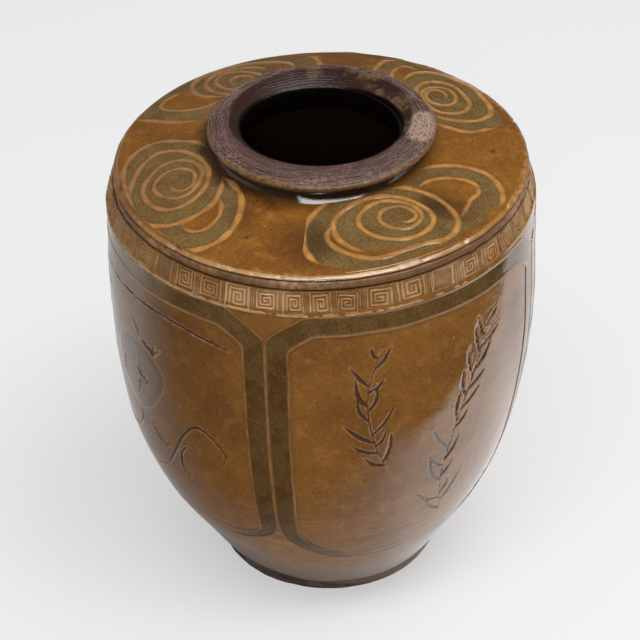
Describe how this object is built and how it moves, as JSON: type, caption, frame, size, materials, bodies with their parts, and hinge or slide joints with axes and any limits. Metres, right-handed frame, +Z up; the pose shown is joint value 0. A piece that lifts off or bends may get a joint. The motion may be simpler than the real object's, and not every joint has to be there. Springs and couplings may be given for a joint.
{
  "type": "vinegar pot",
  "caption": "Glazed stoneware vinegar pot: tapering barrel with slip-framed panels, key-fret strip, flat shoulder with cloud scrolls, short neck and rolled lip.",
  "frame": {"origin": "middle of the foot, on the surface that the pot stands on", "axes": "+Z up along the pot's axis; -Y faces the middle of panel 1"},
  "size_m": [0.3066, 0.3066, 0.3636],
  "materials": {
    "amber_glaze": "glossy amber-brown ash glaze over stoneware, with dark iron specks",
    "olive_slip": "olive-grey clay slip under the same glossy glaze",
    "bare_stoneware": "unglazed purple-brown fired clay with turning marks"
  },
  "bodies": {
    "root": {"base_slab": "bare_stoneware", "lower_wall": "amber_glaze", "upper_wall": "amber_glaze", "fret_band": "amber_glaze", "shoulder_slab": "amber_glaze", "neck_collar": "amber_glaze", "mouth_rim": "bare_stoneware", "panel_frame_1": "olive_slip", "panel_frame_2": "olive_slip", "panel_frame_3": "olive_slip", "panel_frame_4": "olive_slip", "cloud_scroll_1": "olive_slip", "cloud_scroll_2": "olive_slip", "cloud_scroll_3": "olive_slip", "cloud_scroll_4": "olive_slip"}
  },
  "joints": []
}
